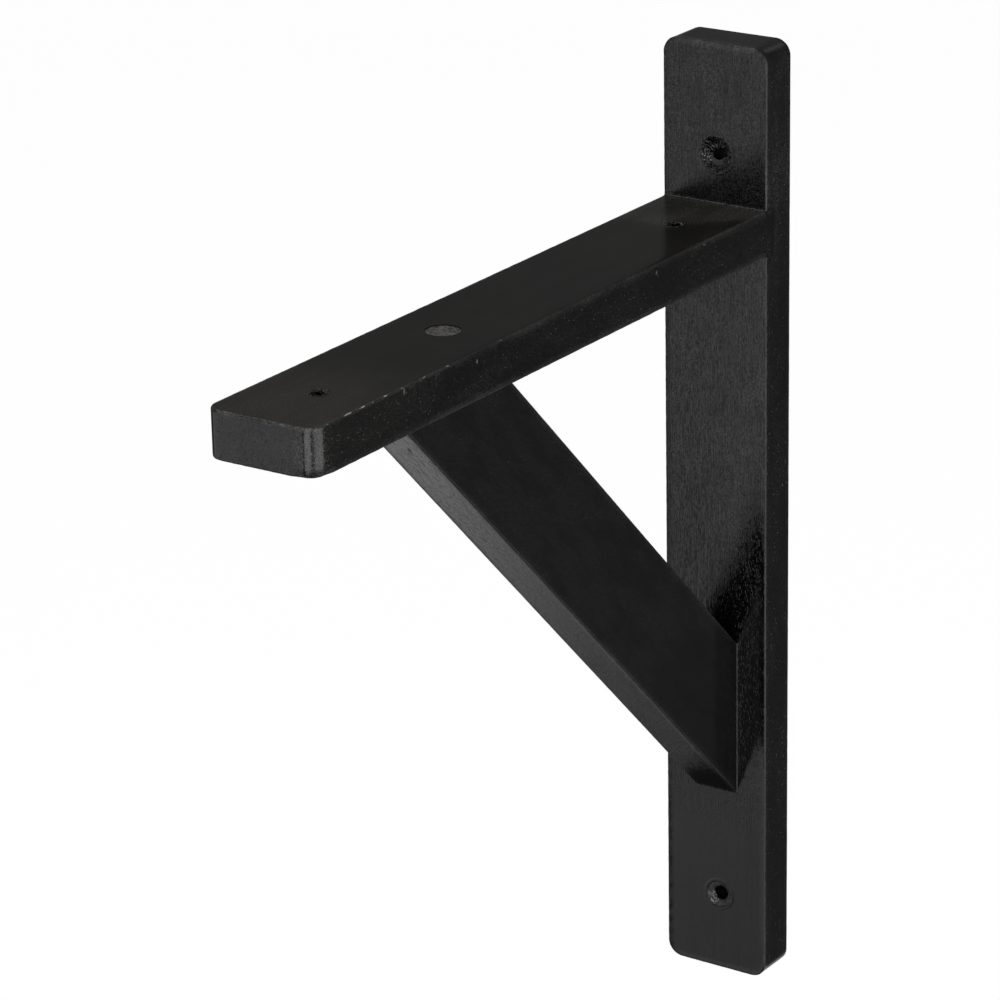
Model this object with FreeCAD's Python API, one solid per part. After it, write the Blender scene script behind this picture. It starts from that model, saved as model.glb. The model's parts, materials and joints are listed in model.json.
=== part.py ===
import FreeCAD, Part

import math
import os

from FreeCAD import Vector

# Wooden shelf bracket: a back board, an arm housed into it, and a brace mitred between the two.
# Millimetres. X runs across the bracket, +Y into the wall and +Z up. The origin lies on the wall
# face, half-way across, level with the top of the arm, which is where a shelf meets the wall.

# Back board, which is screwed to the wall
board_width = 45.0
board_thickness = 18.0
board_height = 380.0
board_above_arm = 62.0
board_corner_radius = 6.3

# Arm, as wide as the board and flush with its sides
arm_reach = 303.0
arm_thickness = 18.0
arm_corner_radius = 6.0
housing_depth = 6.0
housing_fit = 0.1

# Brace, on edge under the middle of the arm
brace_thickness = 19.5
brace_depth = 45.0
brace_angle = 45.0
brace_toe_inset = 63.0

# Soft edges, left by sandpaper before the lacquer
arris_radius = 0.8

# Holes for the two wall screws, drilled and countersunk by eye, a little right of the middle
upper_bore = 7.0
upper_countersink = 14.0
upper_hole_from_top = 43.0
upper_hole_drift = 0.6
lower_bore = 5.5
lower_countersink = 11.2
lower_hole_from_bottom = 32.0
lower_hole_drift = 1.4
wall_countersink_angle = 110.0

# Holes for the two screws that go up through the arm into a shelf
shelf_hole_bore = 4.6
shelf_hole_countersink = 8.6
shelf_hole_inset = 31.0
shelf_hole_drift = 1.4

# Wood screws that hold the joints
screw_length = 40.0
screw_thread_diameter = 4.0
screw_neck_diameter = 3.0
screw_neck_length = 3.0
screw_point_length = 5.0
screw_head_diameter = 8.0
screw_head_rim = 0.3
screw_head_sink = 0.3
screw_head_angle = 90.0
recess_width = 4.4
recess_slot = 1.1
recess_depth = 1.7
arm_screw_inset = 10.5
brace_screw_inset = 20.0
shank_clearance = 0.25
thread_clearance = 0.05
head_clearance = 0.1

# Plug over the screw that holds the brace's upper end
plug_diameter = 12.6
plug_taper = 0.1
plug_chamfer = 0.5
plug_sink = 0.4
plug_drift = -0.6
plug_clearance = 0.05
counterbore_depth = 6.0

# Places worked out from the sizes above
half_width = board_width / 2
half_brace = brace_thickness / 2
board_top = board_above_arm
board_bottom = board_above_arm - board_height
board_front = -board_thickness
housing_floor = board_front + housing_depth
arm_end = -arm_reach
arm_underside = -arm_thickness
arm_middle = arm_underside / 2
lean = math.radians(brace_angle)
brace_toe = arm_end + brace_toe_inset
brace_heel = arm_underside - (board_front - brace_toe) * math.tan(lean)
brace_inner_toe = brace_toe + brace_depth / math.sin(lean)
brace_inner_heel = brace_heel + brace_depth / math.cos(lean)
plug_place = brace_inner_toe - brace_screw_inset
heel_screw_level = brace_inner_heel - brace_screw_inset
upper_hole_level = board_top - upper_hole_from_top
lower_hole_level = board_bottom + lower_hole_from_bottom
shelf_hole_places = (board_front - shelf_hole_inset, arm_end + shelf_hole_inset)

# Directions in which the screws and holes run
INTO_FRONT = Vector(0, 1, 0)
OUT_OF_WALL = Vector(0, -1, 0)
DOWN = Vector(0, 0, -1)
UP = Vector(0, 0, 1)

# How far a cutting tool runs on past the face where it starts
overrun = 1.0


def block(x0, x1, y0, y1, z0, z1):
    """A plain box between two opposite corners."""
    return Part.makeBox(x1 - x0, y1 - y0, z1 - z0, Vector(x0, y0, z0))


def edges_along(shape, direction):
    """The straight edges of a shape that run along one direction."""
    found = []
    for edge in shape.Edges:
        run = edge.Vertexes[-1].Point - edge.Vertexes[0].Point
        if run.Length > 0 and run.cross(direction).Length < 1e-6 * run.Length:
            found.append(edge)
    return found


def edges_around(shape, axis, level):
    """The edges that lie wholly in the plane at one level of an axis."""
    found = []
    for edge in shape.Edges:
        box = edge.BoundBox
        low, high = (box.YMin, box.YMax) if axis == "Y" else (box.ZMin, box.ZMax)
        if abs(low - level) < 1e-6 and abs(high - level) < 1e-6:
            found.append(edge)
    return found


def revolved(profile, base, direction):
    """Turn a profile of (radius, distance) points round a line that starts at base."""
    points = [Vector(radius, 0, distance) for radius, distance in profile]
    face = Part.Face(Part.makePolygon(points + points[:1]))
    solid = face.revolve(Vector(0, 0, 0), Vector(0, 0, 1), 360)
    turn = FreeCAD.Rotation(Vector(0, 0, 1), direction)
    solid.Placement = FreeCAD.Placement(base, turn)
    return solid


def sunk_hole(base, direction, bore, mouth, angle, length):
    """A round hole with a conical mouth, as the drill and the countersink leave it."""
    slope = math.tan(math.radians(angle / 2))
    cone = (mouth - bore) / 2 / slope
    profile = [
        (0, -overrun),
        (mouth / 2 + overrun * slope, -overrun),
        (mouth / 2, 0),
        (bore / 2, cone),
        (bore / 2, length),
        (0, length),
    ]
    return revolved(profile, base, direction)


def screw_seat(base, direction, clamped):
    """The hole for one joint screw in the piece under its head, clamped being that piece's depth."""
    flare = (screw_head_sink + screw_head_rim) * math.tan(math.radians(screw_head_angle / 2))
    mouth = screw_head_diameter + 2 * (head_clearance + flare)
    bore = screw_thread_diameter + 2 * shank_clearance
    return sunk_hole(base, direction, bore, mouth, screw_head_angle, clamped + overrun)


def screw_pilot(base, direction):
    """The hole that one joint screw cuts for itself, with the screw's own point at its end."""
    radius = screw_thread_diameter / 2 + thread_clearance
    tip = screw_head_sink + screw_length + thread_clearance
    profile = [
        (0, -overrun),
        (radius, -overrun),
        (radius, tip - screw_point_length),
        (0, tip),
    ]
    return revolved(profile, base, direction)


def back_board():
    """The board against the wall, with its round corners, its housing and its holes."""
    board = block(-half_width, half_width, board_front, 0, board_bottom, board_top)
    board = board.makeFillet(board_corner_radius, edges_along(board, INTO_FRONT))
    rims = edges_around(board, "Y", board_front) + edges_around(board, "Y", 0)
    board = board.makeFillet(arris_radius, rims)
    side = half_width + overrun
    board = board.cut(block(-side, side, board_front - overrun, housing_floor, arm_underside, 0))
    upper = Vector(upper_hole_drift, board_front, upper_hole_level)
    lower = Vector(lower_hole_drift, board_front, lower_hole_level)
    through = board_thickness + overrun
    board = board.cut(
        sunk_hole(upper, INTO_FRONT, upper_bore, upper_countersink, wall_countersink_angle, through)
    )
    board = board.cut(
        sunk_hole(lower, INTO_FRONT, lower_bore, lower_countersink, wall_countersink_angle, through)
    )
    for base in arm_screw_bases() + [heel_screw_base()]:
        board = board.cut(screw_seat(base, OUT_OF_WALL, board_thickness))
    return board


def shelf_arm():
    """The arm that carries the shelf, with a square tongue that slides into the board's housing."""
    arm = block(-half_width, half_width, arm_end, board_front, arm_underside, 0)
    corners = [edge for edge in edges_along(arm, UP) if edge.BoundBox.YMax < board_front - overrun]
    arm = arm.makeFillet(arm_corner_radius, corners)
    rims = [
        edge
        for level in (0, arm_underside)
        for edge in edges_around(arm, "Z", level)
        if edge.BoundBox.YMin < board_front - overrun
    ]
    arm = arm.makeFillet(arris_radius, rims)
    ease = housing_fit / 2
    tongue = block(-half_width, half_width, board_front, housing_floor, arm_underside + ease, -ease)
    arm = arm.fuse(tongue)
    for place in shelf_hole_places:
        base = Vector(shelf_hole_drift, place, arm_underside)
        hole = sunk_hole(
            base, UP, shelf_hole_bore, shelf_hole_countersink, screw_head_angle, arm_thickness + overrun
        )
        arm = arm.cut(hole)
    for base in arm_screw_bases():
        arm = arm.cut(screw_pilot(base, OUT_OF_WALL))
    counterbore = Part.makeCylinder(
        plug_diameter / 2 + plug_clearance,
        counterbore_depth + overrun,
        plug_seat(),
        UP,
    )
    arm = arm.cut(counterbore)
    return arm.cut(screw_seat(plug_seat(), DOWN, arm_thickness - counterbore_depth))


def brace():
    """The brace, cut from stock on edge and mitred to lie flat on the arm and the board."""
    corners = [
        (board_front, brace_heel),
        (board_front, brace_inner_heel),
        (brace_inner_toe, arm_underside),
        (brace_toe, arm_underside),
    ]
    points = [Vector(-half_brace, y, z) for y, z in corners]
    side = Part.Face(Part.makePolygon(points + points[:1]))
    stock = side.extrude(Vector(brace_thickness, 0, 0))
    along = Vector(0, brace_toe - board_front, arm_underside - brace_heel)
    stock = stock.makeFillet(arris_radius, edges_along(stock, along))
    stock = stock.cut(screw_pilot(heel_screw_base(), OUT_OF_WALL))
    return stock.cut(screw_pilot(plug_seat(), DOWN))


def plug_seat():
    """The middle of the counterbore's floor, where the plug and the screw head meet."""
    return Vector(plug_drift, plug_place, -counterbore_depth)


def heel_screw_base():
    """Where the screw into the brace's lower end starts, on the wall side of the board."""
    return Vector(0, 0, heel_screw_level)


def arm_screw_bases():
    """Where the two screws into the arm's end start, on the wall side of the board."""
    return [Vector(side * (half_width - arm_screw_inset), 0, arm_middle) for side in (-1, 1)]


def screw_plug():
    """The round plug that hides the upper screw, a little sunk and slightly tapered."""
    radius = plug_diameter / 2
    height = counterbore_depth - plug_sink
    profile = [
        (0, 0),
        (radius - plug_taper - plug_chamfer, 0),
        (radius - plug_taper, plug_chamfer),
        (radius, height),
        (0, height),
    ]
    return revolved(profile, plug_seat(), UP)


def rectangle(half_x, half_y, level):
    """The four corners of a rectangle about the vertical axis."""
    signs = [(-1, -1), (1, -1), (1, 1), (-1, 1)]
    return [Vector(half_x * x, half_y * y, level) for x, y in signs]


def tapered_block(mouth, floor):
    """A solid with flat sides between two rectangles, one above the other."""
    rings = [mouth, floor]
    for first in range(4):
        second = (first + 1) % 4
        rings.append([mouth[first], mouth[second], floor[second], floor[first]])
    faces = [Part.Face(Part.makePolygon(ring + ring[:1])) for ring in rings]
    return Part.Solid(Part.Shell(faces))


def cross_recess():
    """The tapered cross in a screw's head, deepest in the middle."""
    slot = recess_slot / 2
    mouth = rectangle(recess_width / 2, slot, 0)
    floor = rectangle(slot, slot / 2, recess_depth)
    bar = tapered_block(mouth, floor)
    cross_bar = bar.copy()
    cross_bar.rotate(Vector(0, 0, 0), Vector(0, 0, 1), 90)
    return bar.fuse(cross_bar)


def wood_screw(base, direction):
    """One countersunk wood screw, its head just under the face that it starts from."""
    head = screw_head_diameter / 2
    neck = screw_neck_diameter / 2
    thread = screw_thread_diameter / 2
    cone = (head - neck) / math.tan(math.radians(screw_head_angle / 2))
    neck_start = screw_head_rim + cone
    neck_end = neck_start + screw_neck_length
    profile = [
        (0, 0),
        (head, 0),
        (head, screw_head_rim),
        (neck, neck_start),
        (neck, neck_end),
        (thread, neck_end),
        (thread, screw_length - screw_point_length),
        (0, screw_length),
    ]
    screw = revolved(profile, Vector(0, 0, 0), Vector(0, 0, 1))
    screw = screw.cut(cross_recess())
    turn = FreeCAD.Rotation(Vector(0, 0, 1), direction)
    screw.Placement = FreeCAD.Placement(base + direction * screw_head_sink, turn)
    return screw


def all_pieces():
    """Every piece of the bracket by name, each one a solid in its place."""
    left, right = arm_screw_bases()
    return {
        "back_board": back_board(),
        "shelf_arm": shelf_arm(),
        "brace": brace(),
        "screw_plug": screw_plug(),
        "brace_top_screw": wood_screw(plug_seat(), DOWN),
        "brace_heel_screw": wood_screw(heel_screw_base(), OUT_OF_WALL),
        "arm_screw_left": wood_screw(left, OUT_OF_WALL),
        "arm_screw_right": wood_screw(right, OUT_OF_WALL),
    }


os.makedirs("parts", exist_ok=True)
for name, shape in all_pieces().items():
    shape.exportStep("parts/" + name + ".step")
    litres = shape.Volume / 1e6
    print(name, "solids", len(shape.Solids), "valid", shape.isValid(), "volume", round(litres, 6), "litres")
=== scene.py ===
# %% [markdown]
# # A wooden shelf bracket in black satin lacquer
#
# The frame loaded below is the bracket as a joiner would draw it: a back board, an arm housed into it, a
# mitred brace, a plug and four screws, all at their real size. This lesson gives those pieces the surface
# of the real ones: grain under thin lacquer, torn holes, rubbed edges. Nothing is moved or resized.
# %% Load the frame
import json
import math
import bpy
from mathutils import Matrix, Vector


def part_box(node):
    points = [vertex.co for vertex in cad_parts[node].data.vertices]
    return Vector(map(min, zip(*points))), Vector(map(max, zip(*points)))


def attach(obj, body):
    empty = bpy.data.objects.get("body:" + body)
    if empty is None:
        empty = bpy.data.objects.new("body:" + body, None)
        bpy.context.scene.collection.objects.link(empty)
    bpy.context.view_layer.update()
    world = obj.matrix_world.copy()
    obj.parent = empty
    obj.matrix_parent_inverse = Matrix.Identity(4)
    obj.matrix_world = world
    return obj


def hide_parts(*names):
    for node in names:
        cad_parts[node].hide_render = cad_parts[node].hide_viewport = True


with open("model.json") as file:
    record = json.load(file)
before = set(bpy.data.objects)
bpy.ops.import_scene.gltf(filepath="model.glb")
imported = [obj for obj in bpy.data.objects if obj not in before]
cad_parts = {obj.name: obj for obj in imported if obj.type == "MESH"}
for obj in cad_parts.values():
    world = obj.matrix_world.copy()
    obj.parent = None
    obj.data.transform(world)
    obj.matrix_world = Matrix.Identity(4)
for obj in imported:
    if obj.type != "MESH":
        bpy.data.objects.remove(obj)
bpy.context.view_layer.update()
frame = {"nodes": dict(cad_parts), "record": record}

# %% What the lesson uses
from types import SimpleNamespace

import bmesh
import bpy
import numpy as np
from mathutils import Matrix, Vector, noise

MM = 0.001
print("pieces in the frame:", ", ".join(sorted(frame["nodes"])))

# %% [markdown]
# ## The camera
#
# A product camera stands far off with a long lens, so that parallel edges stay nearly parallel. Its place
# was solved from the straight edges of the bracket. It could also be aimed with a tracking constraint, but
# writing out its three directions allows the small roll that a hand-held frame has.
# %% Camera
bracket_middle = Vector((0, -0.15, -0.13))
camera_place = Vector((0.82788, -1.37294, 0.4715))
camera_azimuth = math.radians(34.415)
camera_elevation = math.radians(20.369)
camera_roll = math.radians(-1.14)
camera_lens = 158.31
sensor_width = 36.0


def camera_turn(azimuth, elevation, roll):
    """The camera's right, up and backward directions as the columns of a matrix."""
    flat = math.cos(elevation)
    back = Vector((math.sin(azimuth) * flat, -math.cos(azimuth) * flat, math.sin(elevation)))
    right = (-back).cross(Vector((0, 0, 1))).normalized()
    up = right.cross(-back)
    rolled_right = math.cos(roll) * right + math.sin(roll) * up
    rolled_up = math.cos(roll) * up - math.sin(roll) * right
    return Matrix((rolled_right, rolled_up, back)).transposed().to_4x4()


camera = bpy.data.objects.new("camera", bpy.data.cameras.new("camera"))
camera.data.lens = camera_lens
camera.data.sensor_width = sensor_width
camera.data.clip_end = 60.0
camera.matrix_world = Matrix.Translation(camera_place) @ camera_turn(
    camera_azimuth, camera_elevation, camera_roll
)
bpy.context.scene.collection.objects.link(camera)
bpy.context.scene.camera = camera
print("camera is", round((camera_place - bracket_middle).length, 3), "m from the bracket")

# %% [markdown]
# ## Nodes in a few words
#
# Every finish and every light below is a small graph of nodes. These helpers put a node in a graph, set
# what is fixed and connect what flows, so that a recipe reads from top to bottom like a paint recipe.
# %% Helpers for node graphs


def add(graph, kind, inputs=None, **settings):
    """Put one node in a graph: a number is set on its socket, and a socket is connected to it."""
    made = graph.nodes.new(kind)
    for name, value in settings.items():
        setattr(made, name, value)
    for name, value in (inputs or {}).items():
        if isinstance(value, bpy.types.NodeSocket):
            graph.links.new(value, made.inputs[name])
        else:
            made.inputs[name].default_value = value
    return made


def maths(graph, operation, first, second=0.0):
    """One sum on two numbers or sockets."""
    return add(graph, "ShaderNodeMath", {0: first, 1: second}, operation=operation).outputs[0]


def total(graph, result, *values):
    """The sum of several numbers or sockets."""
    for value in values:
        result = maths(graph, "ADD", result, value)
    return result


def product(graph, result, *values):
    """The product of several numbers or sockets."""
    for value in values:
        result = maths(graph, "MULTIPLY", result, value)
    return result


def vector(graph, operation, first, second=(0.0, 0.0, 0.0)):
    """One sum on two vectors, which gives a vector, or a number for a length or a dot product."""
    made = add(graph, "ShaderNodeVectorMath", {0: first, 1: second}, operation=operation)
    return made.outputs["Value" if operation in ("LENGTH", "DOT_PRODUCT") else "Vector"]


def eased(graph, value, low, high, to_low=0.0, to_high=1.0):
    """Carry a value from one range to another with soft ends."""
    inputs = {"Value": value, "From Min": low, "From Max": high, "To Min": to_low, "To Max": to_high}
    made = add(graph, "ShaderNodeMapRange", inputs, interpolation_type="SMOOTHSTEP")
    return made.outputs["Result"]


def blended(graph, share, first, second):
    """One colour laid over another by a share, held between 0 and 1."""
    inputs = {0: share, 6: first, 7: second}
    return add(graph, "ShaderNodeMix", inputs, data_type="RGBA").outputs[2]


# %% [markdown]
# ## The studio
#
# Black lacquer shows little colour of its own: what is seen is mostly the room, mirrored softly. So the room
# is made first, as eight soft-edged white cards in dim air, each known by its borders. Three in front make
# the grey of the front faces, and one low down by the wall makes that of the brace's lower face. The arm's
# round corner mirrors the card at the left, the board's mirrors the one between the soft boxes, and two
# behind light the tops and the back. A photographed room could light it too, but a few plain directions are
# easier to understand and to tune.
# %% Cards in the air
dim_air = 0.080
seen_air = 0.97
to_right, to_left = (1, 0, 0), (-1, 0, 0)
to_front, to_wall = (0, -1, 0), (0, 1, 0)
upwards, downwards = (0, 0, 1), (0, 0, -1)
front_ends = [(to_right, -0.86, -0.64), (to_left, 0.28, 0.49)]
# Each card: how bright it is, and for each of its borders the direction it faces and where it fades in
cards = {
    "front_card": (0.63, [*front_ends, (downwards, -0.06, 0.12), (upwards, -0.66, -0.56)]),
    "low_card": (
        0.86,
        [*front_ends, (downwards, 0.56, 0.66), (to_wall, 0.12, 0.26), ((-1, -1, 0), 0.125, 0.21)],
    ),
    "bright_band": (
        0.45,
        [*front_ends, (downwards, 0.26, 0.32), (upwards, -0.42, -0.37), (to_front, 0.20, 0.45)],
    ),
    "upper_front_card": (
        0.29,
        [*front_ends, (upwards, -0.41, -0.35), (downwards, -0.30, -0.15), (to_front, 0.30, 0.55)],
    ),
    "left_card": (0.70, [(to_left, 0.62, 0.76), (to_front, -0.04, 0.10), (downwards, 0.16, 0.26)]),
    "high_card_behind": (0.50, [(upwards, 0.40, 0.55), (to_wall, 0.40, 0.60), (to_right, -0.05, 0.15)]),
    "card_behind": (
        0.60,
        [(to_wall, 0.60, 0.80), (to_right, -0.56, -0.38), (to_left, -0.20, 0.00), (downwards, -0.10, 0.05)],
    ),
    "card_between_boxes": (
        0.60,
        [((0.74, 0.67, 0), 0.0, 0.1), ((-0.09, -1, 0), 0.35, 0.45), (downwards, -0.3, -0.1)],
    ),
}
print(len(cards), "cards:", ", ".join(cards))

# %% Air around the bracket


def card_share(graph, direction, borders):
    """How much of a soft-edged card lies in a direction: the product of one soft step for each border."""
    share = 1.0
    for facing, low, high in borders:
        towards = vector(graph, "DOT_PRODUCT", direction, facing)
        share = product(graph, eased(graph, towards, low, high), share)
    return share


air = bpy.data.worlds.new("studio_air")
air.use_nodes = True
sky = air.node_tree
sky.nodes.clear()
direction = add(sky, "ShaderNodeTexCoord").outputs["Generated"]
brightness = dim_air
for card_brightness, borders in cards.values():
    added = product(sky, card_share(sky, direction, borders), card_brightness - dim_air)
    brightness = total(sky, added, brightness)
white = (1.0, 1.0, 1.0, 1.0)
mirrored = add(sky, "ShaderNodeBackground", {"Color": white, "Strength": brightness}).outputs[0]
plain = add(sky, "ShaderNodeBackground", {"Color": white, "Strength": seen_air}).outputs[0]
seen_straight = add(sky, "ShaderNodeLightPath").outputs["Is Camera Ray"]
either = add(sky, "ShaderNodeMixShader", {0: seen_straight, 1: mirrored, 2: plain}).outputs[0]
add(sky, "ShaderNodeOutputWorld", {"Surface": either})
bpy.context.scene.world = air
bpy.context.scene.view_settings.view_transform = "Standard"
print(len(sky.nodes), "nodes make the air")

# %% [markdown]
# ## Soft boxes and floor
#
# Two tall soft boxes stand in front and to the right, which the rounded corners show as upright stripes, and
# one hangs above, to the left. They could be cards too, but a lamp can stand close, so that its stripe moves
# along a corner as it would in a studio. The floor is a pale sheet far below, which the lacquer doesn't
# mirror.
# %% Soft boxes


def soft_box(name, azimuth, elevation, distance, width, height, radiance):
    """A soft light that faces the bracket, by where it stands and how bright its cloth is."""
    lamp = bpy.data.lights.new(name, "AREA")
    lamp.shape = "RECTANGLE"
    lamp.size, lamp.size_y = width, height
    lamp.energy = radiance * math.pi * width * height
    box = bpy.data.objects.new(name, lamp)
    turn = camera_turn(math.radians(azimuth), math.radians(elevation), 0.0)
    box.matrix_world = Matrix.Translation(bracket_middle) @ turn @ Matrix.Translation((0, 0, distance))
    box.visible_camera = False
    bpy.context.scene.collection.objects.link(box)
    print(f"{name}: {width} x {height} m, {lamp.energy:.1f} W")


soft_box("soft_box_front", azimuth=16.0, elevation=-4, distance=1.3, width=0.75, height=1.9, radiance=2.4)
soft_box("soft_box_right", azimuth=89, elevation=-12, distance=2.2, width=2.6, height=2.6, radiance=1.78)
soft_box("soft_box_above", azimuth=-56, elevation=50, distance=2.2, width=1.3, height=1.3, radiance=1.5)

# %% Floor
floor_level, floor_reach = -2.6, 40.0
floor_mesh = bpy.data.meshes.new("floor")
corners = [(-1, -1), (1, -1), (1, 1), (-1, 1)]
floor_places = [(x * floor_reach, y * floor_reach, floor_level) for x, y in corners]
floor_mesh.from_pydata(floor_places, [], [(0, 1, 2, 3)])
floor = bpy.data.objects.new("floor", floor_mesh)
floor_finish = bpy.data.materials.new("pale_floor")
floor_finish.use_nodes = True
floor_surface = floor_finish.node_tree.nodes["Principled BSDF"].inputs
floor_surface["Base Color"].default_value = (0.5, 0.5, 0.5, 1.0)
floor_surface["Roughness"].default_value = 0.9
floor_surface["Emission Color"].default_value = white
floor_surface["Emission Strength"].default_value = 0.93
floor_mesh.materials.append(floor_finish)
floor.visible_glossy = False
floor.visible_diffuse = False
bpy.context.scene.collection.objects.link(floor)

# %% [markdown]
# ## Opening a piece for work
#
# A drawn piece comes as loose triangles, long and thin across its flats. To carve wear into it, its
# triangles are joined, its flats are made whole, and planes cut it into a net of small squares. Near a hole
# or a chipped edge the net is halved again. A fine remesh would cost far more points for the same detail
# and would round the crisp edges.
# %% Open a piece and cut its net
# In millimetres: how near a point counts as lying on a cut, and how far apart the cuts are
near_enough = 0.05
net_step = 3.0


def box_mm(node):
    """The lowest and highest corners of a node in millimetres."""
    low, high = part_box(node)
    return np.array(low) / MM, np.array(high) / MM


def open_copy(node):
    """A node's surface in millimetres, joined up and with whole flat faces."""
    mesh = frame["nodes"][node].data.copy()
    for layer in ("custom_normal", "sharp_edge", "sharp_face"):
        if layer in mesh.attributes:
            mesh.attributes.remove(mesh.attributes[layer])
    skin = bmesh.new()
    skin.from_mesh(mesh)
    bpy.data.meshes.remove(mesh)
    skin.transform(Matrix.Scale(1 / MM, 4))
    bmesh.ops.remove_doubles(skin, verts=skin.verts, dist=0.001)
    bmesh.ops.dissolve_limit(skin, angle_limit=math.radians(0.5), verts=skin.verts, edges=skin.edges)
    return skin


def net(skin, direction, low, high):
    """Cut a surface with evenly spaced planes across one direction."""
    direction = Vector(direction).normalized()
    count = max(1, round((high - low) / net_step))
    for cut in range(1, count):
        everything = skin.verts[:] + skin.edges[:] + skin.faces[:]
        place = direction * (low + (high - low) * cut / count)
        bmesh.ops.bisect_plane(skin, geom=everything, dist=near_enough, plane_co=place, plane_no=direction)


def netted(node):
    """A node's surface with a net across all three directions of the room."""
    skin = open_copy(node)
    for direction, low, high in zip((to_right, to_wall, upwards), *box_mm(node)):
        net(skin, direction, low, high)
    return skin


# %% Make a net finer where it matters


def refine(skin, edge_wanted, sweeps=4):
    """Halve the edges that are longer than edge_wanted says for where they are."""
    bmesh.ops.triangulate(skin, faces=skin.faces[:])
    bmesh.ops.dissolve_degenerate(skin, dist=near_enough, edges=skin.edges[:])
    for _ in range(sweeps):
        edges = skin.edges[:]
        ends = np.array([[*edge.verts[0].co, *edge.verts[1].co] for edge in edges])
        lengths = np.linalg.norm(ends[:, :3] - ends[:, 3:], axis=1)
        wanted = edge_wanted((ends[:, :3] + ends[:, 3:]) / 2)
        long = [edges[place] for place in np.nonzero(lengths > wanted)[0]]
        if not long:
            break
        bmesh.ops.subdivide_edges(skin, edges=long, cuts=1)
        bmesh.ops.triangulate(skin, faces=[face for face in skin.faces if len(face.verts) > 3])
        bmesh.ops.dissolve_degenerate(skin, dist=near_enough / 3, edges=skin.edges[:])
        bmesh.ops.triangulate(skin, faces=[face for face in skin.faces if len(face.verts) > 3])
    drop_folded(skin)


def drop_folded(skin):
    """Take out slivers that folded flat, which are two triangles back to back on the same points."""
    on_points = {}
    for face in skin.faces:
        on_points.setdefault(frozenset(face.verts), []).append(face)
    back_to_back = [face for faces in on_points.values() if len(faces) > 1 for face in faces]
    bmesh.ops.delete(skin, geom=back_to_back, context="FACES")
    loose = [edge for edge in skin.edges if not edge.link_faces]
    bmesh.ops.delete(skin, geom=loose, context="EDGES")


# %% Soft steps, distances and noise on arrays of points
# Longer than any edge of a net, so that the net is left as it is there
coarse = 9.0
growth = 8.0


def ease(values, low, high):
    """0 below low, 1 above high, and a smooth step between."""
    share = np.clip((values - low) / (high - low), 0.0, 1.0)
    return share * share * (3 - 2 * share)


def fade(values, low, high):
    """1 below low, 0 above high, and a smooth step between."""
    return 1 - ease(values, low, high)


def away(points, place):
    """How far each point is from one place."""
    return np.linalg.norm(points - np.array(place), axis=1)


def uneven(points, size, seed=0.0):
    """Smooth random heights from about -1 to 1, which change over size millimetres."""
    moved = points / np.array(size) + 17.3 * (seed + 1)
    return np.array([noise.noise(Vector(point)) for point in moved])


def only_at(condition, length):
    """An edge length that is wanted at some places, and the coarse one elsewhere."""
    return np.where(condition, length, coarse)


def finer_near(distance, length, low, high):
    """An edge length that is wanted up to a distance of low, and grows up to a distance of high."""
    return length + growth * ease(distance, low, high)


# %% [markdown]
# ## From net to piece
#
# Once a net is fine enough, the wear is worked out for all its points together, as arrays of places and
# outward directions. Notes for the finish travel with the points, one number for each word. Grain is dashes
# that stand up in the coat, fleck is small grey marks on it, glint is nibs that catch the light, grit is
# dots of dust, and haze is a grey veil of dust, which on the arm's top also lays a painted sheen and a
# painted warm reflection. Rim is a dull edge. Rubbed grey is wear on edges and torn holes, and painted light
# elsewhere: a highlight on the walls of the wall holes, along the board's edge above the arm and on the
# beads, and a sheen on the arm's top near the board. End is end grain, bare is where wood shows, also as a
# painted highlight in the wall holes, bore is the black laid deep in a hole as painted shade, and thin is
# the thinly painted back. Groups of faces with finishes of their own could say it too, but numbers on points
# can fade into each other.
# %% Helpers for a worked piece
note_words = ("grain", "fleck", "glint", "grit", "haze", "rim", "rub", "end", "bare", "bore", "thin")


def closed(skin, name):
    """Turn a net into a mesh, still in millimetres, and say what it holds."""
    mesh = bpy.data.meshes.new(name)
    holes = sum(1 for edge in skin.edges if len(edge.link_faces) != 2)
    print(f"{name}: {len(skin.faces)} triangles, {holes} open edges, {skin.calc_volume() / 1000:.2f} ml")
    skin.to_mesh(mesh)
    skin.free()
    return mesh


def places_of(mesh):
    """The places and the outward directions of a mesh's points."""
    count = len(mesh.vertices) * 3
    places, outward = np.zeros(count), np.zeros(count)
    mesh.vertices.foreach_get("co", places)
    mesh.vertex_normals.foreach_get("vector", outward)
    return places.reshape(-1, 3), outward.reshape(-1, 3)


def put_back(mesh, places):
    """Give a mesh its worked places, in metres."""
    mesh.vertices.foreach_set("co", (places * MM).astype(np.float32).ravel())
    mesh.update()


def notes(mesh, **values):
    """Write the numbers that the finish reads at each point, 0 for those that are not given."""
    nothing = np.zeros(len(mesh.vertices))
    for word in note_words:
        layer = mesh.attributes.new(word, "FLOAT", "POINT")
        layer.data.foreach_set("value", (nothing + values.get(word, 0.0)).astype(np.float32))


def edge_distance(places, low, high, through, corner):
    """How far each point is from its nearest edge, on a plate with round corners seen along one axis."""
    inset = np.abs(np.minimum(places - np.array(low), np.array(high) - places))
    first, second = (inset[:, axis] for axis in range(3) if axis != through)
    rounding = corner - np.hypot(np.maximum(corner - first, 0), np.maximum(corner - second, 0))
    outline = np.where((first < corner) & (second < corner), rounding, np.minimum(first, second))
    return inset[:, through] + np.abs(outline)


def show(mesh, name, finish, node, crease=35.0):
    """Make the piece, smooth its surface up to a crease, and let it stand for its node."""
    mesh.shade_smooth()
    mesh.set_sharp_from_angle(angle=math.radians(crease))
    mesh.materials.clear()
    mesh.materials.append(finish)
    piece = bpy.data.objects.new(name, mesh)
    bpy.context.scene.collection.objects.link(piece)
    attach(piece, "root")
    if node:
        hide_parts(node)


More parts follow.
